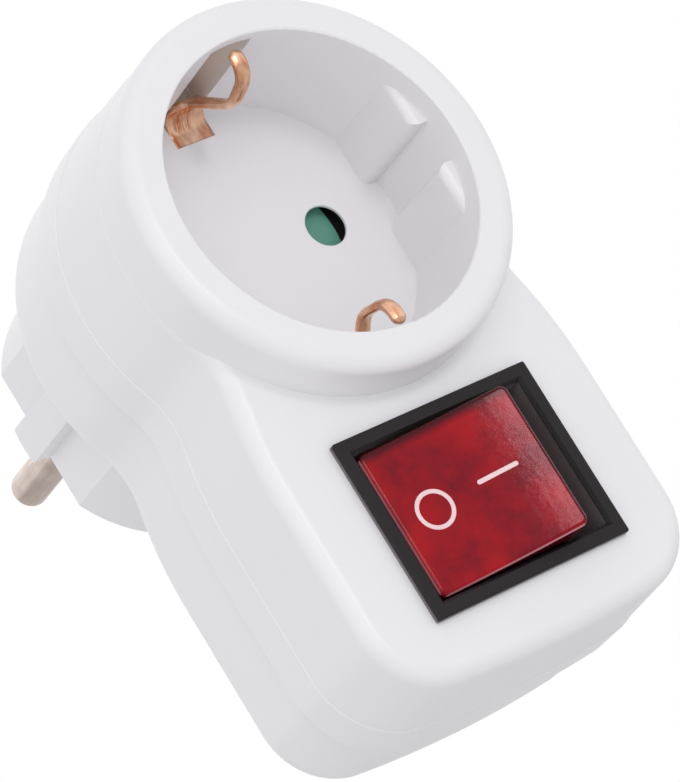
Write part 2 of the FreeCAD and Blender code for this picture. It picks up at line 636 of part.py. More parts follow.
def rod(name, x, z0, z1, level, radius):
    # cylinder that lies along Z
    thing = doc.addObject("Part::Cylinder", name)
    bind(thing, Radius=radius, Height="(%s) - (%s)" % (z1, z0), Placement_Base_x=x,
         Placement_Base_y="-(%s)" % level, Placement_Base_z=z0)
    return thing


def ball(name, x, z, level, radius):
    thing = doc.addObject("Part::Sphere", name)
    bind(thing, Radius=radius, Placement_Base_x=x, Placement_Base_y="-(%s)" % level, Placement_Base_z=z)
    return thing


# Plug side: pins, their retainer and the earth strips

def plugPins():
    for name, side in (("plug_pin_line", "-"), ("plug_pin_neutral", "")):
        body = newBody(name)
        steps = [("shaft", "-pinLength", "pinLength - neckEnd", "pinRadius"),
                 ("neck", "-neckEnd", "neckEnd + bossFace + flangeThick / 2", "neckRadius"),
                 ("flange", "bossFace", "flangeThick", "flangeRadius"),
                 ("tail", "bossFace + flangeThick", "tailLevel - bossFace - flangeThick", "tailRadius")]
        for step, low, length, radius in steps:
            sketch = sketchOn(body, "%s_%s" % (name, step), "XZ_Plane", low)
            circle(sketch, "%sholePitch / 2" % side, "0", radius)
            pad(body, sketch, length)
            if step == "shaft":
                tip = -size("pinLength")
                dress(body, "Fillet", name + "_tip", "pinRound", lambda e: atLevel(e, tip))


def pinRetainer():
    low = "(bossFace + flangeThick)"
    high = "(bossFace + flangeThick + retainerThick)"
    disc = post("retainer_disc", "0", "0", low, high, "bossBore - discClearance")
    tools = []
    for side in ("", "-"):
        tools.append(post("retainer_tail" + side, side + "holePitch / 2", "0", low, high,
                          "tailRadius + discClearance"))
        tools.append(post("retainer_tube" + side, "0", side + "bossScrewRow", low, high,
                          "tubeRadius + discClearance"))
    keep("pin_retainer", cut("pin_retainer", disc, tools))


def earthStrips():
    keep("plug_earth_upper", block("plug_earth_upper", "-stripHalf", "stripHalf", "earthSeat",
                                   "earthSeat + stripThick", "earthEnd", "ringLevel"))
    keep("plug_earth_lower", block("plug_earth_lower", "-stripHalf", "stripHalf",
                                   "-(earthSeat + stripThick)", "-earthSeat", "earthEnd", "ringLevel"))
    ring = post("bridge_ring", "0", "0", "ringLevel", "ringLevel + stripThick", "ringOuter")
    hole = post("bridge_hole", "0", "0", "ringLevel", "ringLevel + stripThick", "ringInner")
    keep("earth_bridge", cut("earth_bridge", ring, [hole]))


# Earth clips: foot let into the floor, arm leaning in to the nip and turned out again at its tip

def earthClip(name, side):
    floor = size("rimLevel") - size("wellDepth")
    thick = size("clipThick")
    foot = floor - thick / 2
    half = size("footHalf")
    neck = floor + size("neckRise")
    arm = size("armHalf")
    path = [(size("footFront"), foot), (size("clipRoot"), foot), (size("clipNip"), floor + size("nipRise")),
            (size("clipCrest"), floor + size("crestRise")), (size("clipTip"), floor + size("tipRise"))]
    blank = strip([(side * z, level) for z, level in path], -half, half, thick, size("clipBend"))
    # seen from the front of its slot the strip narrows from the foot to the arm
    low = foot - thick
    high = size("rimLevel")
    outer = [(-half, low), (-half, neck), (-arm, neck + size("neckRun")), (-arm, high),
             (arm, high), (arm, neck + size("neckRun")), (half, neck), (half, low)]
    corners = [FreeCAD.Vector(x, -level, 0) for x, level in outer]
    mask = Part.Face(Part.makePolygon(corners + corners[:1])).extrude(Z_AXIS * side * size("pocketReach"))
    pieces = [blank.common(mask)]
    # ribs run from the foot over the bend into the arm
    proud = size("ribProud")
    start = size("footFront") + size("ribStart")
    lean = (size("clipRoot") - size("clipNip")) / (size("nipRise") + thick / 2)
    ribTop = size("clipRoot") - lean * (size("ribRise") + thick / 2)
    ridge = [(start, foot + proud), (size("clipRoot") - proud, foot + proud),
             (ribTop - proud, floor + size("ribRise"))]
    for x in (-size("ribSide"), 0.0):
        pieces.append(strip([(side * z, level) for z, level in ridge], x - size("ribHalf"),
                            x + size("ribHalf"), thick, size("clipBend") - proud))
    tail = Part.makeBox(2 * size("tailHalf"), foot - size("ringLevel") - size("stripThick"), thick)
    tail.translate(FreeCAD.Vector(-size("tailHalf"), -foot, side * size("tailRow") - thick / 2))
    keep(name, computed(name, pieces[0].fuse(pieces[1:] + [tail]).removeSplitter()))


# Socket side: contacts on their carrier, shutter with its spring and cover

def socketContact(name, side):
    thick = size("leafThick")
    row = size("leafGap") + thick / 2
    base = size("ledgeLevel") + size("carrierThick") + thick / 2
    top = size("leafTop")
    neck = top - size("leafFlare")
    flared = row + size("leafFlare") / 4
    points = [(flared, top), (row, neck), (row, base), (-row, base), (-row, neck), (-flared, top)]
    x = side * size("holePitch") / 2
    half = size("leafHalf")
    keep(name, computed(name, strip(points, x - half, x + half, thick, size("leafRound"))))


def contactCarrier():
    top = carrierTop
    disc = post("carrier_disc", "0", "0", "ledgeLevel", top, "ledgeBore - discClearance")
    tools = []
    for side in ("", "-"):
        tools.append(post("carrier_tube" + side, "0", side + "bossScrewRow", "ledgeLevel", top,
                          "tubeRadius + discClearance"))
    tools.append(block("carrier_notch_left", "-(wireRow + notchHalf)", "-(wireRow - notchHalf)",
                       "-ledgeBore", "-(notchTop)", "ledgeLevel", top))
    tools.append(block("carrier_notch_right", "wireRow - notchHalf", "wireRow + notchHalf",
                       "-ledgeBore", "-(notchTop)", "ledgeLevel", top))
    keep("contact_carrier", cut("contact_carrier", disc, tools))


def shutterParts():
    low = "(%s + shutterGap)" % coverFloor
    top = "(partingLevel - shutterGap)"
    hubLow = "(partingLevel - shutterGap - hubThick)"
    hub = post("shutter_hub", "0", "0", hubLow, top, "hubRadius")
    half = size("shutterAngle") / 2
    slope = size("rampAngle")
    tools = [post("shutter_bore", "0", "0", low, top, "postRadius + fitClearance"),
             post("shutter_recess", "0", "0", low, hubLow, "hubRadius - hubThick")]
    wings = [hub]
    for index, turn in enumerate((0, 180)):
        about = FreeCAD.Rotation(FreeCAD.Vector(0, -1, 0), turn)
        wing = post("shutter_wing_%d" % index, "0", "0", low, top, "shutterReach")
        bind(wing, Angle="shutterAngle")
        lead = FreeCAD.Rotation(FreeCAD.Vector(0, -1, 0), turn - half)
        wing.Placement.Rotation = lead.multiply(wing.Placement.Rotation)
        wings.append(wing)
        # the ramp falls away from the wing's leading edge, so that a pin turns it aside
        ramp = doc.addObject("Part::Box", "shutter_ramp_%d" % index)
        bind(ramp, Length="shutterReach", Width="shutterReach", Height="shutterThick")
        tilt = FreeCAD.Rotation(X_AXIS, 90 - slope)
        edge = size("shutterReach") * math.sin(math.radians(half))
        level = size("partingLevel") - size("shutterGap")
        corner = FreeCAD.Placement(FreeCAD.Vector(size("hubRadius"), -level, edge), tilt)
        back = FreeCAD.Placement(FreeCAD.Vector(0, -size("shutterReach"), 0), FreeCAD.Rotation())
        whole = FreeCAD.Placement(FreeCAD.Vector(), about)
        ramp.Placement = whole.multiply(corner).multiply(back)
        tools.append(ramp)
    keep("shutter", cut("shutter", fuse("shutter_blank", wings), tools))

    coverFoot = "(%s - coverThick)" % coverFloor
    cup = post("cover_cup", "0", "0", coverFoot, "partingLevel", "coverRadius")
    hollow = post("cover_hollow", "0", "0", coverFloor, "partingLevel", "coverRadius - coverWall")
    holes = [hollow]
    for side in ("", "-"):
        holes.append(post("cover_pin_hole" + side, side + "holePitch / 2", "0", coverFoot, coverFloor,
                          "coverHole"))
        holes.append(post("cover_pillar_hole" + side, "0", side + "bossScrewRow", coverFoot, coverFloor,
                          "pillarRadius + discClearance"))
    keep("shutter_cover", cut("shutter_cover", cup, holes))

    # the closed turns of the shutter's torsion spring, as one sleeve
    sleeve = post("spring_outer", "0", "0", coverFloor, "%s - springPlay" % hubLow, "springOuter")
    inner = post("spring_inner", "0", "0", coverFloor, hubLow, "springOuter - springWire")
    keep("shutter_spring", cut("shutter_spring", sleeve, [inner]))


# Screws from the wall side: heads in the sinks, shanks in the pillars' cores

def housingScrews():
    whole = []
    places = [("0", "bossScrewRow", "screwSeat"), ("0", "-bossScrewRow", "screwSeat"),
              ("blockScrewHalf", "-blockScrewRow", "blockSeat"),
              ("-blockScrewHalf", "-blockScrewRow", "blockSeat")]
    for index, (x, z, seat) in enumerate(places):
        head = post("head_%d" % index, x, z, "%s - headThick" % seat, seat, "screwHead")
        shank = post("shank_%d" % index, x, z, "%s - headThick / 2" % seat, "%s + screwLength" % seat,
                     "screwCore")
        across = block("drive_a_%d" % index, "%s - driveRadius" % x, "%s + driveRadius" % x,
                       "%s - driveHalf" % z, "%s + driveHalf" % z, "%s - headThick" % seat,
                       "%s - headThick / 2" % seat)
        upright = block("drive_b_%d" % index, "%s - driveHalf" % x, "%s + driveHalf" % x,
                        "%s - driveRadius" % z, "%s + driveRadius" % z, "%s - headThick" % seat,
                        "%s - headThick / 2" % seat)
        blank = fuse("screw_blank_%d" % index, [head, shank])
        whole.append(cut("screw_%d" % index, blank, [across, upright]))
    keep("housing_screws", fuse("housing_screws", whole))


# Switch: housing, rocker with its carrier, plungers and lamp, tilting contacts and blades

def switchHousing():
    body = newBody("switch_housing")
    shaft = sketchOn(body, "switch_body", "XZ_Plane", "bodyLevel")
    rectangle(shaft, "-bodyHalf", "bodyHalf", "-(switchRow + bodyRise)", "-(switchRow - bodyRise)")
    pad(body, shaft, "faceLevel - bodyLevel")
    bezel = sketchOn(body, "bezel", "XZ_Plane", "faceLevel")
    rectangle(bezel, "-bezelHalf", "bezelHalf", "-(switchRow + bezelRise)", "-(switchRow - bezelRise)")
    pad(body, bezel, "bezelThick")
    top = size("faceLevel") + size("bezelThick")
    dress(body, "Fillet", "bezel_corners", "bezelCorner",
          lambda e: abs(e.BoundBox.YLength - size("bezelThick")) < 1e-3 and e.BoundBox.XLength < 1e-3
          and e.BoundBox.ZLength < 1e-3)
    dress(body, "Fillet", "bezel_round", "bezelRound", lambda e: atLevel(e, top))
    cavity = sketchOn(body, "cavity", "XZ_Plane", bezelTop)
    rectangle(cavity, "-openHalf", "openHalf", "-(switchRow + openRise)", "-(switchRow - openRise)")
    pocket(body, cavity, "%s - bodyLevel - bodyFloor" % bezelTop)
    dress(body, "Chamfer", "mouth_bevel", "mouthBevel",
          lambda e: atLevel(e, top) and abs(e.CenterOfMass.x) < size("openHalf") + 1e-3
          and abs(e.CenterOfMass.z + size("switchRow")) < size("openRise") + 1e-3)
    pivots = sketchOn(body, "pivot_holes", "XY_Plane", "-switchRow")
    circle(pivots, "0", "-%s" % pivotLevel, "pivotRadius + fitClearance")
    pocket(body, pivots, "2 * bodyRise + 1").Midplane = True
    snaps = sketchOn(body, "snaps", "XY_Plane", "-switchRow")
    snapTop = "faceLevel - faceWall - cutClearance"
    for side in ("", "-"):
        polygon(snaps, [("%s(bodyHalf - joinDepth)" % side, "-(%s)" % snapTop),
                        ("%s(bodyHalf + snapReach)" % side, "-(%s)" % snapTop),
                        ("%s(bodyHalf - joinDepth)" % side, "-(%s - snapDrop)" % snapTop)])
    pad(body, snaps, "2 * snapHalf", midplane=True)
    slots = sketchOn(body, "blade_slots", "XZ_Plane", "bodyLevel")
    slotHalf = "(bladeThick / 2 + fitClearance)"
    for x in ("0", "-fixedRow"):
        for upright in ("", "-"):
            row = "-switchRow %s plungerRow" % (upright or "+")
            rectangle(slots, "%s - %s" % (x, slotHalf), "%s + %s" % (x, slotHalf),
                      row + " - bladeHalf - fitClearance", row + " + bladeHalf + fitClearance")
    pocket(body, slots, "bodyFloor", away=True)


def tilted(thing, degrees, level, row):
    # turns a piece built about the pivot line and puts it in its place
    thing.Placement = FreeCAD.Placement(FreeCAD.Vector(), FreeCAD.Rotation(Z_AXIS, degrees))
    bind(thing, Placement_Base_y="-%s" % level, Placement_Base_z=row)
    return thing


def rockerParts():
    rest = -size("restTilt")
    body = newBody("rocker")
    cap = sketchOn(body, "cap", "XZ_Plane", "capFoot")
    rectangle(cap, "-capHalf", "capHalf", "-capRise", "capRise")
    pad(body, cap, "capTop - capFoot")
    dish = sketchOn(body, "cap_dish", "XY_Plane")
    circle(dish, "0", "-(capTop - dishDepth + dishRadius)", "dishRadius")
    pocket(body, dish, "2 * capRise + 1").Midplane = True
    doc.recompute()
    foot = size("capFoot")
    dress(body, "Fillet", "cap_corners", "capCorner",
          lambda e: e.BoundBox.YLength > 1 and e.BoundBox.XLength < 1e-3 and e.BoundBox.ZLength < 1e-3)
    dress(body, "Fillet", "cap_round", "capRound", lambda e: e.BoundBox.YMax < -foot - 1)
    hollow = sketchOn(body, "cap_hollow", "XZ_Plane", "capFoot")
    rectangle(hollow, "-(capHalf - capWall)", "capHalf - capWall",
              "-(capRise - capWall)", "capRise - capWall")
    pocket(body, hollow, "capTop - capFoot - capWall", away=True)
    tilted(body, rest, pivotLevel, "-switchRow")

    plate = block("cradle_plate", "-(capHalf - capWall)", "capHalf - capWall", "-(capRise - capWall)",
                  "capRise - capWall", "cradleTop - cradlePlate", "cradleTop")
    core = block("cradle_core", "-cradleHalf", "cradleHalf", "-cradleRise", "cradleRise", "-cradleFoot",
                 "cradleTop - cradlePlate / 2")
    pins = [rod("cradle_pin_low", "0", "-pivotReach", "-(cradleRise - joinDepth)", "0", "pivotRadius"),
            rod("cradle_pin_high", "0", "cradleRise - joinDepth", "pivotReach", "0", "pivotRadius")]
    bores = [post("cradle_bore" + side, "0", side + "plungerRow", "-cradleFoot", "boreTop", "plungerBore")
             for side in ("", "-")]
    cradle = cut("rocker_cradle", fuse("cradle_blank", [plate, core] + pins), bores)
    keep("rocker_cradle", tilted(cradle, rest, pivotLevel, "-switchRow"))

    for name, side in (("line", ""), ("neutral", "-")):
        row = side + "plungerRow"
        stem = post("plunger_stem_" + name, "0", row, "-(plungerReach - plungerRadius)", "-plungerTop",
                    "plungerRadius")
        tip = ball("plunger_tip_" + name, "0", row, "-(plungerReach - plungerRadius)", "plungerRadius")
        plunger = fuse("plunger_" + name, [stem, tip])
        keep("plunger_" + name, tilted(plunger, rest, pivotLevel, "-switchRow"))
        low = -size("plungerTop") + size("coilWire") / 2
        high = size("boreTop") - size("coilWire") / 2
        middle = -size("plungerRow") if side else size("plungerRow")
        shape = coil(size("coilRadius"), size("coilWire"), low, high, size("coilTurns"), middle)
        spring = computed("plunger_spring_" + name, shape)
        keep("plunger_spring_" + name, tilted(spring, rest, pivotLevel, "-switchRow"))

    glass = [rod("lamp_tube", "-lampRow", "-(lampHalf - lampRadius)", "lampHalf - lampRadius", "lampLevel",
                 "lampRadius")]
    for side in ("", "-"):
        glass.append(ball("lamp_end" + side, "-lampRow", "%s(lampHalf - lampRadius)" % side, "lampLevel",
                          "lampRadius"))
    keep("neon_lamp", tilted(fuse("neon_lamp", glass), rest, pivotLevel, "-switchRow"))
    resistor = fuse("lamp_resistor", [
        rod("resistor_core", "resistorRow", "-resistorHalf", "resistorHalf",
            "cradleTop + resistorRadius", "resistorCore"),
        rod("resistor_cap_low", "resistorRow", "-resistorHalf", "-(resistorHalf - resistorCap)",
            "cradleTop + resistorRadius", "resistorRadius"),
        rod("resistor_cap_high", "resistorRow", "resistorHalf - resistorCap", "resistorHalf",
            "cradleTop + resistorRadius", "resistorRadius")])
    keep("lamp_resistor", tilted(resistor, rest, pivotLevel, "-switchRow"))


def poleContacts():
    for name, side in (("line", "+"), ("neutral", "-")):
        row = "(-switchRow %s plungerRow)" % side
        arm = block("seesaw_arm_" + name, "-seesawLeft", "seesawRight", "-seesawHalf", "seesawHalf",
                    "saddleRise", "saddleRise + seesawThick")
        button = post("seesaw_button_" + name, "-fixedRow", "0", "-buttonThick",
                      "saddleRise + seesawThick / 2", "buttonRadius")
        groove = rod("seesaw_groove_" + name, "0", "-bladeHalf", "bladeHalf", "0",
                     "saddleRadius + fitClearance")
        seesaw = cut("seesaw_" + name, fuse("seesaw_blank_" + name, [arm, button]), [groove])
        keep("seesaw_" + name, tilted(seesaw, size("seesawTilt"), "seesawLevel", row))

        floor = "(bodyLevel + bodyFloor)"
        blade = block("fulcrum_" + name, "-bladeThick / 2", "bladeThick / 2", "%s - bladeHalf" % row,
                      "%s + bladeHalf" % row, "bladeEnd", "seesawLevel")
        saddle = rod("saddle_" + name, "0", "%s - bladeHalf" % row, "%s + bladeHalf" % row, "seesawLevel",
                     "saddleRadius")
        foot = block("fulcrum_foot_" + name, "-bladeThick", "bladeThick", "%s - bladeHalf" % row,
                     "%s + bladeHalf" % row, floor, "%s + bladeThick" % floor)
        keep("terminal_%s_in" % name, fuse("terminal_%s_in" % name, [blade, saddle, foot]))
        fixed = block("fixed_" + name, "-fixedRow - bladeThick / 2", "-fixedRow + bladeThick / 2",
                      "%s - bladeHalf" % row, "%s + bladeHalf" % row, "bladeEnd", floor + " + bladeThick / 4")
        head = post("fixed_head_" + name, "-fixedRow", row, floor, "fixedTop", "headHalf")
        keep("terminal_%s_out" % name, fuse("terminal_%s_out" % name, [fixed, head]))


# Wires from the plug pins to the switch and on to the socket contacts

def wires():
    out = size("holePitch") / 2
    tail = size("tailRadius")
    leaf = size("leafGap") + size("leafThick")
    solder = size("solderLevel")
    run = size("runLevel")
    level = size("wireLevel")
    step = (level - run) / 3
    row = size("wireRow")
    back = size("wireBack")
    half = size("bladeHalf")
    near = -size("switchRow") + size("plungerRow")
    far = -size("switchRow") - size("plungerRow")
    fixed = size("fixedRow")
    side = size("wireSide")
    deep = half + size("wireDrop") - far
    lead = size("wireLead")
    wire("wire_line_in", [(-out, solder, -tail), (-out, solder, -tail - lead), (-row, solder + tail, -back),
                          (-row, run, -back), (-row + tail / 2, run + step, -2 * back),
                          (0, level, near + half + lead), (0, level, near + half)])
    wire("wire_line_out", [(-out, run, -leaf), (-out, run, -leaf - lead),
                           (-out - tail, run + step, -1.5 * back),
                           (-out, level, near + half + 2 * lead), (-fixed, level, near + half + lead),
                           (-fixed, level, near + half)])
    wire("wire_neutral_in", [(out, solder, -tail), (out, solder, -tail - lead), (row, solder + tail, -back),
                             (row, run, -back), (row + tail, run + step, -2 * back),
                             (row, level, far + 2 * lead), (row - tail, level, far),
                             (size("bladeThick") / 2, level, far)])
    wire("wire_neutral_out", [(out, run, -leaf), (out, run, -leaf - lead), (side, run + step, -1.5 * back),
                              (side, level, near), (side - tail / 2, level, -deep), (-fixed, level, -deep),
                              (-fixed, level, far - half)])


frontShell()
rearShell()
plugPins()
pinRetainer()
earthStrips()
earthClip("earth_clip_upper", 1)
earthClip("earth_clip_lower", -1)
socketContact("socket_contact_line", -1)
socketContact("socket_contact_neutral", 1)
contactCarrier()
shutterParts()
housingScrews()
switchHousing()
rockerParts()
poleContacts()
wires()
doc.recompute()

for thing in doc.Objects:
    if "Invalid" in thing.State or "Error" in thing.State:
        raise RuntimeError("not computed: " + thing.Name)
for name, thing in pieces.items():
    if thing.Shape.isNull() or not thing.Shape.isValid():
        raise RuntimeError("no valid shape: " + name)
os.makedirs("parts", exist_ok=True)
for name, thing in pieces.items():
    thing.Shape.exportStep("parts/%s.step" % name)
    print(name, len(thing.Shape.Solids), round(thing.Shape.Volume, 1))
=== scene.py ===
import bmesh
import bpy
import json
import math
from mathutils import Matrix, Vector


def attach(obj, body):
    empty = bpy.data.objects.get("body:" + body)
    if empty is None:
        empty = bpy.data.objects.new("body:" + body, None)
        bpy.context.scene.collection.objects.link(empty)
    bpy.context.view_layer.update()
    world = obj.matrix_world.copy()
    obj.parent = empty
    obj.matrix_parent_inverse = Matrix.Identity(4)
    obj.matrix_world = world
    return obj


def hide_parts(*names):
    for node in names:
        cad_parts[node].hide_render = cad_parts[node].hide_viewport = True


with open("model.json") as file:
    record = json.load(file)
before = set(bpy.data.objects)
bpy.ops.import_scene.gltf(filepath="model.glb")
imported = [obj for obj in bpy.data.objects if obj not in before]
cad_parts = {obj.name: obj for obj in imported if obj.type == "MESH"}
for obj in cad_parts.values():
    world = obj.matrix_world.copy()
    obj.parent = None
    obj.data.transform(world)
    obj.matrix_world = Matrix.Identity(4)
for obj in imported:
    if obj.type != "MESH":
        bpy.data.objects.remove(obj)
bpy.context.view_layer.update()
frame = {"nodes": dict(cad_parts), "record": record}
scene = bpy.context.scene
mm = 0.001

# The frame's +Y runs into the wall, so what faces the room faces -Y, and its level is its height
# above the wall: y = -level. The rocker's pivot is given by its level and by how far it is below
# the axis of the socket well.
rockerPivot = {"level": 40.3, "below": 39.1, "restTilt": -10}
pivotPlace = Vector((0, -rockerPivot["level"], -rockerPivot["below"])) * mm
restTilt = math.radians(rockerPivot["restTilt"])


# Camera: the photograph's own place, in metres, and direction, solved from points on the object

cameraView = {
    "place": (-0.30737, -0.47639, -0.13221),
    "right": (0.75943, -0.39812, -0.51456),
    "up": (0.33002, -0.44586, 0.83204),
    "focalPixels": 4741.5,
    "imageHeight": 782,
    "sensor": 36.0,
    "near": 0.01,
    "far": 20.0,
}


def makeCamera(view):
    data = bpy.data.cameras.new("photoCamera")
    data.sensor_width = view["sensor"]
    data.lens = view["focalPixels"] / view["imageHeight"] * view["sensor"]
    data.clip_start = view["near"]
    data.clip_end = view["far"]
    right = Vector(view["right"]).normalized()
    back = right.cross(Vector(view["up"])).normalized()
    up = back.cross(right)
    turn = Matrix((right, up, back)).transposed()
    camera = bpy.data.objects.new("photoCamera", data)
    camera.matrix_world = Matrix.Translation(view["place"]) @ turn.to_4x4()
    scene.collection.objects.link(camera)
    scene.camera = camera


makeCamera(cameraView)
print("camera set")


# Colours and nodes

def linear(hexColour):
    # sRGB hex to linear values
    parts = [int(hexColour[i:i + 2], 16) / 255 for i in (1, 3, 5)]
    return [p / 12.92 if p <= 0.04045 else ((p + 0.055) / 1.055) ** 2.4 for p in parts] + [1.0]


def addNode(tree, kind, links=None, give=None, **settings):
    # links maps each input to a value or to the output that feeds it; give picks the output to
    # hand back, and without it the node itself comes back
    node = tree.nodes.new(kind)
    for name, value in settings.items():
        setattr(node, name, value)
    for name, value in (links or {}).items():
        if isinstance(value, bpy.types.NodeSocket):
            tree.links.new(value, node.inputs[name])
        else:
            node.inputs[name].default_value = value
    return node if give is None else node.outputs[give]


def newMaterial(name):
    # an empty material, its node tree and the places on the object that its patterns follow
    material = bpy.data.materials.new(name)
    material.use_nodes = True
    tree = material.node_tree
    tree.nodes.clear()
    return material, tree, addNode(tree, "ShaderNodeTexCoord", give="Object")


# A Mix node's colour inputs are numbers 6 and 7, and its colour output is number 2. Sizes in the
# dictionaries are in millimetres where nothing else is said, and roughness is its lowest and highest.


# Housing: white ABS, injection moulded in a satin tool. The eye gets a clean white with soft, wide
# highlights, a slow drift between a lighter and a darker white, and a fine grain that breaks the gloss.
# The grain of such a tool is about 0.1 mm, which the picture can't show, so it is drawn at 0.45 mm.
# The recesses behind the earth clips are painted a warm white that stands in for the clips' copper
# reflected in them, a painted reflection: each pair of limits says where it starts and where it is full.

whiteAbs = {
    "colour": "#F7F6F9", "shade": "#F3F2F6", "drift": 14.0, "grain": 0.45,
    "roughness": (0.28, 0.38), "ior": 1.54, "bump": 0.012, "bumpStrength": 0.25,
    # the warm white below is a painted reflection of the clips' copper in the recesses behind them
    "copperReflection": "#FAF0E8", "copperReflectionAside": (3.3, 3.0), "copperReflectionInner": (19.3, 20.5), "copperReflectionOuter": (22.8, 22.6),
    "copperReflectionRim": (-54.6, -54.5), "copperReflectionFloor": (-37.0, -38.0),
}


def mouldedWhiteAbs(name, look):
    material, tree, place = newMaterial(name)
    drift = addNode(tree, "ShaderNodeTexNoise", {
        "Vector": place, "Scale": 1 / (look["drift"] * mm), "Detail": 2.0}, give="Fac")
    grain = addNode(tree, "ShaderNodeTexNoise", {
        "Vector": place, "Scale": 1 / (look["grain"] * mm), "Detail": 3.0}, give="Fac")
    colour = addNode(tree, "ShaderNodeMix", {
        "Factor": drift, 6: linear(look["shade"]), 7: linear(look["colour"])}, give=2, data_type="RGBA")

    # the painted copper reflection fills a block of space behind each clip: the product of five fades
    axes = addNode(tree, "ShaderNodeSeparateXYZ", {"Vector": place}).outputs
    aside = addNode(tree, "ShaderNodeMath", {0: axes["X"]}, give="Value", operation="ABSOLUTE")
    outward = addNode(tree, "ShaderNodeMath", {0: axes["Z"]}, give="Value", operation="ABSOLUTE")
    fades = ((aside, "copperReflectionAside"), (outward, "copperReflectionInner"), (outward, "copperReflectionOuter"),
             (axes["Y"], "copperReflectionRim"), (axes["Y"], "copperReflectionFloor"))
    copperReflectionShare = 1.0
    for value, limits in fades:
        start, full = look[limits]
        fade = addNode(tree, "ShaderNodeMapRange", {
            "Value": value, "From Min": start * mm, "From Max": full * mm}, give="Result")
        copperReflectionShare = addNode(tree, "ShaderNodeMath", {0: copperReflectionShare, 1: fade}, give="Value", operation="MULTIPLY")
    colour = addNode(tree, "ShaderNodeMix", {
        "Factor": copperReflectionShare, 6: colour, 7: linear(look["copperReflection"])}, give=2, data_type="RGBA")

    low, high = look["roughness"]
    rough = addNode(tree, "ShaderNodeMapRange", {
        "Value": grain, "To Min": low, "To Max": high}, give="Result")
    bump = addNode(tree, "ShaderNodeBump", {
        "Height": grain, "Strength": look["bumpStrength"], "Distance": look["bump"] * mm}, give="Normal")
    shader = addNode(tree, "ShaderNodeBsdfPrincipled", {
        "Base Color": colour, "Roughness": rough, "Normal": bump, "IOR": look["ior"]}, give="BSDF")
    addNode(tree, "ShaderNodeOutputMaterial", {"Surface": shader})
    return material


# Metals. Working the metal leaves fine streaks, which show through a plating too, so the eye gets a
# highlight that is broken along the work, and handling leaves faint stains between bright and dull.
# "streak" is a streak's size along X, Y and Z: long one way on what is drawn, rolled or stamped, and
# even on the springs and screws. Real streaks are about 0.05 mm wide, which the picture can't show, so
# they are drawn coarser.

metals = {
    "nickel_plate": {"name": "satinNickelPlate", "colour": "#E2D4CC", "dull": "#C4B4AA",
                     "roughness": (0.22, 0.40), "streak": (0.4, 6.0, 0.4)},
    "clip_metal": {"name": "stampedPhosphorBronze", "colour": "#FFDABC", "dull": "#CE8A64",
                   "roughness": (0.14, 0.32), "streak": (0.6, 2.5, 2.5)},
    "earth_metal": {"name": "rolledBrassStrip", "colour": "#D9B77A", "dull": "#B08C50",
                    "roughness": (0.25, 0.43), "streak": (0.3, 5.0, 0.3)},
    "contact_brass": {"name": "rolledContactBrass", "colour": "#D8B870", "dull": "#A98845",
                      "roughness": (0.25, 0.43), "streak": (0.3, 4.0, 0.3)},
    "spring_steel": {"name": "drawnSpringWire", "colour": "#B9B9BA", "dull": "#8F8F92",
                     "roughness": (0.20, 0.38), "streak": (0.2, 0.2, 0.2)},
    "screw_steel": {"name": "zincPlatedSteel", "colour": "#C3C4C6", "dull": "#9A9CA0",
                    "roughness": (0.27, 0.45), "streak": (0.5, 0.5, 0.5)},
}
metalWear = {"stain": 3.0, "contrast": (0.12, 0.42), "bump": 0.01, "bumpStrength": 0.3}


def workedMetal(look, wear):
    material, tree, place = newMaterial(look["name"])
    stretched = addNode(tree, "ShaderNodeMapping", {
        "Vector": place, "Scale": [1 / (size * mm) for size in look["streak"]]}, give="Vector")
    streak = addNode(tree, "ShaderNodeTexNoise", {
        "Vector": stretched, "Scale": 1.0, "Detail": 4.0}, give="Fac")
    stain = addNode(tree, "ShaderNodeTexNoise", {
        "Vector": place, "Scale": 1 / (wear["stain"] * mm), "Detail": 3.0}, give="Fac")
    worn = addNode(tree, "ShaderNodeMath", {0: streak, 1: stain}, give="Value", operation="MULTIPLY")
    darkest, brightest = wear["contrast"]
    spread = addNode(tree, "ShaderNodeMapRange", {
        "Value": worn, "From Min": darkest, "From Max": brightest}, give="Result")
    colour = addNode(tree, "ShaderNodeMix", {
        "Factor": spread, 6: linear(look["dull"]), 7: linear(look["colour"])}, give=2, data_type="RGBA")
    low, high = look["roughness"]
    rough = addNode(tree, "ShaderNodeMapRange", {
        "Value": streak, "To Min": low, "To Max": high}, give="Result")
    bump = addNode(tree, "ShaderNodeBump", {
        "Height": streak, "Strength": wear["bumpStrength"], "Distance": wear["bump"] * mm}, give="Normal")
    shader = addNode(tree, "ShaderNodeBsdfPrincipled", {
        "Base Color": colour, "Roughness": rough, "Normal": bump, "Metallic": 1.0}, give="BSDF")
    addNode(tree, "ShaderNodeOutputMaterial", {"Surface": shader})
    return material


# The other moulded, extruded and dipped skins: the switch's black frame and dark cradle in polyamide,
# the green acetal shutter, grey thermoset carriers, wire insulation and resistor lacquer. The eye gets
# a plain body colour with a soft clouding and a fine grain in the gloss. The grain is drawn at 0.3 to
# 0.6 mm, coarser than the real one of about 0.1 mm, so that it shows.

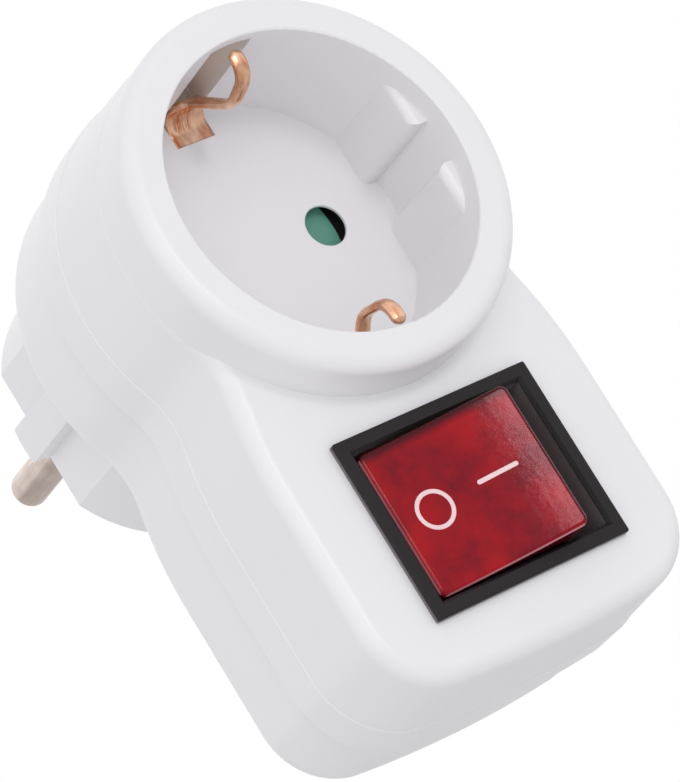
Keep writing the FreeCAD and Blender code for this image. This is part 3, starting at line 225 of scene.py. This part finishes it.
plastics = {
    "black_plastic": {"name": "mouldedBlackPolyamide", "colour": "#252022", "shade": "#1D191B",
                      "roughness": (0.36, 0.50), "grain": 0.35, "bump": 0.02, "specular": 0.22,
                      # the paler colour inside the frame's mouth is painted light that lifts the shade on
                      # its walls
                      "inner": "#807A7C", "paintedLightDepths": (-50.3, -50.0)},
    "dark_plastic": {"name": "mouldedCarrierPolyamide", "colour": "#4A4446", "shade": "#3E393B",
                     "roughness": (0.44, 0.58), "grain": 0.4, "bump": 0.02, "specular": 0.2},
    "green_plastic": {"name": "mouldedGreenAcetal", "colour": "#6FAE9C", "shade": "#5F9F8D",
                      "roughness": (0.32, 0.46), "grain": 0.5, "bump": 0.015},
    "grey_plastic": {"name": "mouldedGreyThermoset", "colour": "#A9A9A4", "shade": "#96968F",
                     "roughness": (0.54, 0.68), "grain": 0.3, "bump": 0.03},
    "wire_brown": {"name": "extrudedBrownInsulation", "colour": "#6B4227", "shade": "#5A3720",
                   "roughness": (0.39, 0.53), "grain": 0.6, "bump": 0.02},
    "wire_blue": {"name": "extrudedBlueInsulation", "colour": "#2F62B5", "shade": "#2552A0",
                  "roughness": (0.39, 0.53), "grain": 0.6, "bump": 0.02},
    "resistor_body": {"name": "lacqueredResistor", "colour": "#CDB48A", "shade": "#B59C72",
                      "roughness": (0.34, 0.48), "grain": 0.5, "bump": 0.01},
}
plasticSkin = {"cloud": 6.0, "ior": 1.53, "specular": 0.5, "bumpStrength": 0.4}


def mouldedPlastic(look, skin):
    material, tree, place = newMaterial(look["name"])
    grain = addNode(tree, "ShaderNodeTexNoise", {
        "Vector": place, "Scale": 1 / (look["grain"] * mm), "Detail": 3.0}, give="Fac")
    cloud = addNode(tree, "ShaderNodeTexNoise", {
        "Vector": place, "Scale": 1 / (skin["cloud"] * mm), "Detail": 2.0}, give="Fac")
    colour = addNode(tree, "ShaderNodeMix", {
        "Factor": cloud, 6: linear(look["shade"]), 7: linear(look["colour"])}, give=2, data_type="RGBA")
    if "inner" in look:
        # the walls inside the frame's mouth are painted paler than its face: painted light that lifts the
        # shade in the deep gap
        depth = addNode(tree, "ShaderNodeSeparateXYZ", {"Vector": place}, give="Y")
        start, full = look["paintedLightDepths"]
        paintedLightShare = addNode(tree, "ShaderNodeMapRange", {
            "Value": depth, "From Min": start * mm, "From Max": full * mm}, give="Result")
        colour = addNode(tree, "ShaderNodeMix", {
            "Factor": paintedLightShare, 6: colour, 7: linear(look["inner"])}, give=2, data_type="RGBA")
    low, high = look["roughness"]
    rough = addNode(tree, "ShaderNodeMapRange", {
        "Value": grain, "To Min": low, "To Max": high}, give="Result")
    bump = addNode(tree, "ShaderNodeBump", {
        "Height": grain, "Strength": skin["bumpStrength"], "Distance": look["bump"] * mm}, give="Normal")
    shader = addNode(tree, "ShaderNodeBsdfPrincipled", {
        "Base Color": colour, "Roughness": rough, "Normal": bump, "IOR": skin["ior"],
        "Specular IOR Level": look.get("specular", skin["specular"])}, give="BSDF")
    addNode(tree, "ShaderNodeOutputMaterial", {"Surface": shader})
    return material


# Rocker: see-through red polycarbonate, moulded in a polished tool, over a dark carrier. The eye gets a
# deep red that is cloudy with what lies under it, and a slight ripple in the reflection. Light and shade
# are painted into the colour too: a painted highlight, a fine pale line along the left, right and bottom
# edges where light gathers; painted shade in a darker margin along the top edge; a painted dark
# reflection in a darker margin along the right edge; and painted shade on the side walls below the face.
# "depth" gives the reds from the darkest cloud to the brightest, each with its place on the colour ramp.
# Each pair of limits is a distance from an edge, or down from the dished face: where a band is full and
# where it ends. The speck in the gloss stands for fine scratches, drawn at 0.4 mm, coarser than real ones.

rockerCap = {"half": 10.3, "rise": 9.4, "top": 12.0, "dishDepth": 0.5, "dishRadius": 106.0}
redLens = {
    "depth": ((0.34, "#780718"), (0.48, "#960919"), (0.64, "#AC0D17")), "cloud": 7.0, "cloudRoughness": 0.6,
    # painted shade along the top edge and a painted dark reflection along the right edge
    "paintedShadeAndReflection": "#42060F", "topPaintedShade": (0.5, 1.6), "rightPaintedReflection": (0.25, 0.75),
    # a painted highlight line along the edges, and painted shade on the side walls
    "paintedEdgeHighlight": "#C9838C", "highlightLine": (0.1, 0.2), "paintedShadeWall": "#5C0816", "shadeWallDrop": (0.6, 0.4),
    "roughness": (0.06, 0.17), "speck": 0.4, "ripple": 1.3, "bump": 0.02, "bumpStrength": 0.6,
    "ior": 1.585, "specular": 0.22, "specularTint": "#FFD2DC",
}


def polishedRedPolycarbonate(look, cap):
    material, tree, place = newMaterial("polishedRedPolycarbonate")
    cloud = addNode(tree, "ShaderNodeTexNoise", {
        "Vector": place, "Scale": 1 / (look["cloud"] * mm), "Detail": 4.0,
        "Roughness": look["cloudRoughness"]}, give="Fac")
    ramp = addNode(tree, "ShaderNodeValToRGB", {"Fac": cloud})
    stops = ramp.color_ramp.elements
    stops.new(look["depth"][1][0])
    for stop, (position, paint) in zip(stops, look["depth"]):
        stop.position = position
        stop.color = linear(paint)
    colour = ramp.outputs["Color"]

    # distances from the cap's edges and down from its dished face, in its own tilted frame
    moved = addNode(tree, "ShaderNodeVectorMath", {0: place, 1: pivotPlace}, give="Vector",
                    operation="SUBTRACT")
    level = addNode(tree, "ShaderNodeVectorRotate", {"Vector": moved, "Angle": -restTilt}, give="Vector",
                    rotation_type="Z_AXIS")
    axes = addNode(tree, "ShaderNodeSeparateXYZ", {"Vector": level}).outputs
    half = cap["half"] * mm
    rise = cap["rise"] * mm
    toRight = addNode(tree, "ShaderNodeMath", {0: half, 1: axes["X"]}, give="Value", operation="SUBTRACT")
    toLeft = addNode(tree, "ShaderNodeMath", {0: half, 1: axes["X"]}, give="Value", operation="ADD")
    toTop = addNode(tree, "ShaderNodeMath", {0: rise, 1: axes["Z"]}, give="Value", operation="SUBTRACT")
    toBottom = addNode(tree, "ShaderNodeMath", {0: rise, 1: axes["Z"]}, give="Value", operation="ADD")
    toSide = addNode(tree, "ShaderNodeMath", {0: toRight, 1: toLeft}, give="Value", operation="MINIMUM")
    toLine = addNode(tree, "ShaderNodeMath", {0: toSide, 1: toBottom}, give="Value", operation="MINIMUM")
    square = addNode(tree, "ShaderNodeMath", {
        0: axes["X"], 1: axes["X"]}, give="Value", operation="MULTIPLY")
    dish = addNode(tree, "ShaderNodeMath", {
        0: square, 1: 2 * cap["dishRadius"] * mm}, give="Value", operation="DIVIDE")
    lower = addNode(tree, "ShaderNodeMath", {0: dish, 1: axes["Y"]}, give="Value", operation="ADD")
    sunk = addNode(tree, "ShaderNodeMath", {
        0: lower, 1: (cap["top"] - cap["dishDepth"]) * mm}, give="Value", operation="ADD")
    # painted light in the colour: shade along the top, a dark reflection along the right, a highlight line
    # on the edges, and shade on the side walls
    bands = ((toTop, "topPaintedShade", "paintedShadeAndReflection"), (toRight, "rightPaintedReflection", "paintedShadeAndReflection"),
             (toLine, "highlightLine", "paintedEdgeHighlight"), (sunk, "shadeWallDrop", "paintedShadeWall"))
    for distance, limits, paint in bands:
        full, end = look[limits]
        fade = addNode(tree, "ShaderNodeMapRange", {
            "Value": distance, "From Min": full * mm, "From Max": end * mm}, give="Result")
        colour = addNode(tree, "ShaderNodeMix", {
            "Factor": fade, 6: linear(look[paint]), 7: colour}, give=2, data_type="RGBA")

    speck = addNode(tree, "ShaderNodeTexNoise", {
        "Vector": place, "Scale": 1 / (look["speck"] * mm), "Detail": 2.0}, give="Fac")
    low, high = look["roughness"]
    rough = addNode(tree, "ShaderNodeMapRange", {
        "Value": speck, "To Min": low, "To Max": high}, give="Result")
    ripple = addNode(tree, "ShaderNodeTexNoise", {
        "Vector": place, "Scale": 1 / (look["ripple"] * mm), "Detail": 3.0}, give="Fac")
    bump = addNode(tree, "ShaderNodeBump", {
        "Height": ripple, "Strength": look["bumpStrength"], "Distance": look["bump"] * mm}, give="Normal")
    shader = addNode(tree, "ShaderNodeBsdfPrincipled", {
        "Base Color": colour, "Roughness": rough, "Normal": bump, "IOR": look["ior"],
        "Specular IOR Level": look["specular"], "Specular Tint": linear(look["specularTint"])}, give="BSDF")
    addNode(tree, "ShaderNodeOutputMaterial", {"Surface": shader})
    return material


# Neon lamp: blown soda glass, faintly warm, so the eye gets a clear bulb with a slight haze

lampGlass = {"colour": "#F3DDD2", "haze": 1.5, "roughness": (0.02, 0.12), "ior": 1.5, "clear": 0.9}


def clearLampGlass(look):
    material, tree, place = newMaterial("clearLampGlass")
    haze = addNode(tree, "ShaderNodeTexNoise", {
        "Vector": place, "Scale": 1 / (look["haze"] * mm), "Detail": 2.0}, give="Fac")
    low, high = look["roughness"]
    rough = addNode(tree, "ShaderNodeMapRange", {
        "Value": haze, "To Min": low, "To Max": high}, give="Result")
    shader = addNode(tree, "ShaderNodeBsdfPrincipled", {
        "Base Color": linear(look["colour"]), "Roughness": rough, "IOR": look["ior"],
        "Transmission Weight": look["clear"]}, give="BSDF")
    addNode(tree, "ShaderNodeOutputMaterial", {"Surface": shader})
    return material


# Rocker marks: white ink, pad printed. The eye gets a soft white that is a little pink where the film
# is thin and the red shows through.

printInk = {"colour": "#FFE6E8", "thin": "#F6C9CF", "patch": 0.5, "roughness": 0.4}


def padPrintedWhiteInk(look):
    material, tree, place = newMaterial("padPrintedWhiteInk")
    film = addNode(tree, "ShaderNodeTexNoise", {
        "Vector": place, "Scale": 1 / (look["patch"] * mm), "Detail": 2.0}, give="Fac")
    colour = addNode(tree, "ShaderNodeMix", {
        "Factor": film, 6: linear(look["thin"]), 7: linear(look["colour"])}, give=2, data_type="RGBA")
    shader = addNode(tree, "ShaderNodeBsdfPrincipled", {
        "Base Color": colour, "Roughness": look["roughness"]}, give="BSDF")
    addNode(tree, "ShaderNodeOutputMaterial", {"Surface": shader})
    return material


looks = {"white_plastic": mouldedWhiteAbs("mouldedWhiteAbs", whiteAbs),
         "white_plastic_rear": mouldedWhiteAbs("mouldedWhiteAbsRear", whiteAbs),
         "red_lens": polishedRedPolycarbonate(redLens, rockerCap),
         "lamp_glass": clearLampGlass(lampGlass)}
for slot, look in metals.items():
    looks[slot] = workedMetal(look, metalWear)
for slot, look in plastics.items():
    looks[slot] = mouldedPlastic(look, plasticSkin)
ink = padPrintedWhiteInk(printInk)

for entry in frame["record"]["subparts"]:
    for materialSlot in frame["nodes"][entry["node"]].material_slots:
        materialSlot.material = looks[entry["material_slot"]]
print("materials made and given to", len(frame["nodes"]), "nodes")


# Earth clips: stamped from strip, with a ribbed foot and an arm that is coined round and springs
# inward. A place on the route is its distance from the well's axis, then its level, and the foot
# turns into the arm between the two neck levels. A curve of 2 would be an ellipse, and a higher one
# is squarer.

earthClip = {
    "path": ((15.4, 38.25), (21.6, 38.25), (14.5, 49.0), (15.6, 54.1), (18.75, 54.35)),
    "bends": (2.6, 3.4, 2.4), "bendRuns": 14, "step": 0.2, "across": 84, "sharpAngle": 50,
    "thick": 0.9, "armThick": 1.15, "footHalf": 2.75, "armHalf": 1.0, "footCurve": 8.0, "armCurve": 2.5,
    "neckLevel": 40.3, "neckEnd": 42.6, "tipRound": 0.9, "tipLeast": 0.06,
    "ribPlaces": (-1.6, -0.85, -0.1), "ribHalf": 0.3, "ribProud": 0.28, "ribFrom": 17.0, "ribTo": 41.5,
    "ribStartFade": 0.5, "ribEndFade": 0.8,
    "tail": ((17.1, 38.2), (17.1, 33.4)), "tailHalf": 1.5,
}


def bentPath(points, bends, runs, step):
    # straight runs joined by arcs, cut into short steps, as (place, direction) pairs
    places = [Vector(point) for point in points]
    line = [places[0]]
    for i in range(1, len(places) - 1):
        before = (places[i - 1] - places[i]).normalized()
        after = (places[i + 1] - places[i]).normalized()
        half = before.angle(after) / 2
        reach = bends[i - 1] / math.tan(half)
        centre = places[i] + (before + after).normalized() * bends[i - 1] / math.sin(half)
        start = places[i] + before * reach - centre
        end = places[i] + after * reach - centre
        sweep = start.angle(end)
        line += [centre + (start * math.sin(sweep * (1 - j / runs)) + end * math.sin(sweep * j / runs))
                 / math.sin(sweep) for j in range(runs + 1)]
    line.append(places[-1])
    full = [line[0]]
    for place in line[1:]:
        gap = (place - full[-1]).length
        parts = max(1, round(gap / step))
        origin = full[-1]
        full += [origin.lerp(place, j / parts) for j in range(1, parts + 1)]
    last = len(full) - 1
    return [(full[i], (full[min(i + 1, last)] - full[max(i - 1, 0)]).normalized()) for i in range(last + 1)]


def stripSection(look, place):
    # half the section's width, its half thickness and how square it is
    rise = min(1.0, max(0.0, (place.y - look["neckLevel"]) / (look["neckEnd"] - look["neckLevel"])))
    rise = rise * rise * (3 - 2 * rise)
    half = look["footHalf"] + rise * (look["armHalf"] - look["footHalf"])
    thick = look["thick"] + rise * (look["armThick"] - look["thick"])
    curve = look["footCurve"] + rise * (look["armCurve"] - look["footCurve"])
    return half, thick / 2, curve


def ribHeight(look, x, place):
    # the ribs run over the foot and the first of the arm, and fade at both ends
    if place.x < look["ribFrom"] and place.y < look["neckLevel"] or place.y > look["ribTo"]:
        return 0.0
    fade = min(1.0, (look["ribTo"] - place.y) / look["ribEndFade"])
    if place.y < look["neckLevel"]:
        fade = min(fade, (place.x - look["ribFrom"]) / look["ribStartFade"])
    height = 0.0
    for middle in look["ribPlaces"]:
        away = abs(x - middle) / look["ribHalf"]
        if away < 1:
            height = look["ribProud"] * math.cos(away * math.pi / 2) * fade
    return height


def sweptStrip(look, line, side, sectionAt, isArm):
    # closed skin along the line, with both ends capped; an arm has ribs and a round tip
    across = look["across"]
    vertices = []
    faces = []
    for i, (place, along) in enumerate(line):
        half, deep, curve = sectionAt(place)
        if isArm:
            left = min(1.0, (len(line) - 1 - i) * look["step"] / look["tipRound"])
            shrink = math.sqrt(1 - (1 - max(left, look["tipLeast"])) ** 2)
            half, deep = half * shrink, deep * shrink
        upward = Vector((-along.y, along.x))
        for face in (1, -1):
            for j in range(across):
                turn = math.pi * (j + 0.5) / across
                x = -face * half * math.cos(turn)
                bulge = deep * (1 - abs(x / half) ** curve) ** (1 / curve)
                if face > 0 and isArm:
                    bulge += ribHeight(look, x, place)
                spot = place + upward * face * bulge
                vertices.append(Vector((x, -spot.y, side * spot.x)) * mm)
    ring = 2 * across
    for i in range(len(line) - 1):
        for j in range(ring):
            k = (j + 1) % ring
            faces.append((i * ring + j, i * ring + k, (i + 1) * ring + k, (i + 1) * ring + j))
    faces.append(tuple(range(ring)))
    faces.append(tuple(len(vertices) - ring + j for j in range(ring)))
    return vertices, faces


def makeEarthClip(name, node, side, look):
    # the arm with its foot, and the tail that reaches down through the well's floor
    arm = sweptStrip(look, bentPath(look["path"], look["bends"], look["bendRuns"], look["step"]), side,
                     lambda place: stripSection(look, place), True)
    tail = sweptStrip(look, bentPath(look["tail"], (), look["bendRuns"], look["step"]), side,
                      lambda place: (look["tailHalf"], look["thick"] / 2, look["footCurve"]), False)
    vertices = arm[0] + tail[0]
    faces = arm[1] + [tuple(i + len(arm[0]) for i in face) for face in tail[1]]
    mesh = bpy.data.meshes.new(name)
    mesh.from_pydata(vertices, [], faces)
    mesh.validate()
    rebuilt = bmesh.new()
    rebuilt.from_mesh(mesh)
    bmesh.ops.recalc_face_normals(rebuilt, faces=rebuilt.faces)
    rebuilt.to_mesh(mesh)
    rebuilt.free()
    mesh.shade_smooth()
    mesh.set_sharp_from_angle(angle=math.radians(look["sharpAngle"]))
    mesh.materials.append(looks["clip_metal"])
    piece = bpy.data.objects.new(name, mesh)
    scene.collection.objects.link(piece)
    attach(piece, "housing")
    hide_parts(node)


makeEarthClip("upperClip", "earth_clip_upper", 1, earthClip)
makeEarthClip("lowerClip", "earth_clip_lower", -1, earthClip)
print("earth clips made")


# Marks on the rocker: a ring over the pressed end and a bar over the raised one, in the cap's own
# frame before its tilt. "film" is half the ink's thickness, so that its lower half is in the cap.

marks = {
    "ring": {"x": -5.25, "z": 0.0, "outer": 2.45, "stroke": 0.52, "sides": 72},
    "bar": {"x": 3.75, "z": 0.5, "length": 5.6, "stroke": 0.55, "endSides": 16},
    "film": 0.03,
}


def onRocker(x, proud, z):
    # a place on the dished cap or proud of it, turned to its rest tilt
    radius = rockerCap["dishRadius"]
    level = rockerCap["top"] - rockerCap["dishDepth"] + radius - math.sqrt(radius ** 2 - x ** 2) + proud
    return Matrix.Rotation(restTilt, 4, "Z") @ (Vector((x, -level, z)) * mm) + pivotPlace


def printedFilm(name, outer, inner, film):
    # a thin film on the cap inside a closed outline, or between two; inner may be None
    vertices = []
    faces = []
    count = len(outer)
    for height in (-film, film):
        for ring in ([outer, inner] if inner else [outer]):
            vertices += [onRocker(x, height, z) for x, z in ring]
    rings = 2 if inner else 1
    high = rings * count
    for i in range(count):
        j = (i + 1) % count
        faces.append((i, j, high + j, high + i))
        if inner:
            faces.append((count + i, high + count + i, high + count + j, count + j))
            faces.append((high + i, high + j, high + count + j, high + count + i))
            faces.append((i, count + i, count + j, j))
    if not inner:
        faces.append(tuple(range(count)))
        faces.append(tuple(high + count - 1 - i for i in range(count)))
    mesh = bpy.data.meshes.new(name)
    mesh.from_pydata(vertices, [], faces)
    mesh.validate()
    mesh.materials.append(ink)
    piece = bpy.data.objects.new(name, mesh)
    scene.collection.objects.link(piece)
    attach(piece, "rocker")


def circlePoints(x, z, radius, count):
    return [(x + radius * math.cos(2 * math.pi * i / count), z + radius * math.sin(2 * math.pi * i / count))
            for i in range(count)]


def barPoints(x, z, length, stroke, count):
    # bar with round ends
    half = length / 2 - stroke / 2
    points = []
    for side, start in ((1, -math.pi / 2), (-1, math.pi / 2)):
        for i in range(count + 1):
            turn = start + math.pi * i / count
            points.append((x + side * half + stroke / 2 * math.cos(turn), z + stroke / 2 * math.sin(turn)))
    return points


ringMark = marks["ring"]
barMark = marks["bar"]
ringEdges = [circlePoints(ringMark["x"], ringMark["z"], radius, ringMark["sides"])
             for radius in (ringMark["outer"], ringMark["outer"] - ringMark["stroke"])]
barEdge = barPoints(barMark["x"], barMark["z"], barMark["length"], barMark["stroke"], barMark["endSides"])
printedFilm("off_mark", ringEdges[0], ringEdges[1], marks["film"])
printedFilm("on_mark", barEdge, None, marks["film"])
print("rocker marks made")


# Studio floor: matt painted board, a pale grey that drifts a little. Its sizes are in metres.

studioFloor = {"drop": 0.30, "size": 6.0, "colour": "#ECECEC", "shade": "#E8E8E8", "cloudsPerMetre": 3.0,
               "roughness": 0.8}


def makeFloor(look):
    half = look["size"] / 2
    mesh = bpy.data.meshes.new("floor")
    corners = [(-half, -half, 0), (half, -half, 0), (half, half, 0), (-half, half, 0)]
    mesh.from_pydata(corners, [], [(0, 1, 2, 3)])
    floor = bpy.data.objects.new("floor", mesh)
    floor.location.z = -look["drop"]
    scene.collection.objects.link(floor)
    material, tree, place = newMaterial("paintedStudioFloor")
    cloud = addNode(tree, "ShaderNodeTexNoise", {
        "Vector": place, "Scale": look["cloudsPerMetre"], "Detail": 2.0}, give="Fac")
    colour = addNode(tree, "ShaderNodeMix", {
        "Factor": cloud, 6: linear(look["shade"]), 7: linear(look["colour"])}, give=2, data_type="RGBA")
    shader = addNode(tree, "ShaderNodeBsdfPrincipled", {
        "Base Color": colour, "Roughness": look["roughness"]}, give="BSDF")
    addNode(tree, "ShaderNodeOutputMaterial", {"Surface": shader})
    mesh.materials.append(material)


# World: a soft grey-white room lights the object; the camera, gloss and glass see a white one

studioWorld = {"colour": "#FFFFFF", "lightStrength": 0.72, "seenStrength": 1.0}


def makeWorld(look):
    world = bpy.data.worlds.new("studioWorld")
    scene.world = world
    world.use_nodes = True
    tree = world.node_tree
    tree.nodes.clear()
    ray = addNode(tree, "ShaderNodeLightPath").outputs
    seen = ray["Is Camera Ray"]
    for kind in ("Is Glossy Ray", "Is Transmission Ray"):
        seen = addNode(tree, "ShaderNodeMath", {0: seen, 1: ray[kind]}, give="Value", operation="MAXIMUM")
    strength = addNode(tree, "ShaderNodeMapRange", {
        "Value": seen, "To Min": look["lightStrength"], "To Max": look["seenStrength"]}, give="Result")
    room = addNode(tree, "ShaderNodeBackground", {
        "Color": linear(look["colour"]), "Strength": strength}, give="Background")
    addNode(tree, "ShaderNodeOutputWorld", {"Surface": room})


# Lamps: square soft boxes aimed at the origin, on the well's axis, in metres and watts

studioLamps = {
    "keyLamp": {"place": (0.06, -1.1, 0.19), "size": 0.19, "power": 1.0},
    "frontLamp": {"place": (-0.5, -0.95, 0.1), "size": 0.6, "power": 1.1},
    "fillLamp": {"place": (-0.95, -0.35, 0.1), "size": 0.6, "power": 0.4},
    "rimLamp": {"place": (0.1, 0.8, 0.7), "size": 0.8, "power": 0.3},
}


def makeLamp(name, look):
    data = bpy.data.lights.new(name, "AREA")
    data.size = look["size"]
    data.energy = look["power"]
    lamp = bpy.data.objects.new(name, data)
    lamp.location = look["place"]
    lamp.rotation_euler = (-Vector(look["place"])).to_track_quat("-Z", "Y").to_euler()
    scene.collection.objects.link(lamp)


makeFloor(studioFloor)
makeWorld(studioWorld)
for name, look in studioLamps.items():
    makeLamp(name, look)
scene.view_settings.view_transform = "Standard"
print("floor, world and lamps set")
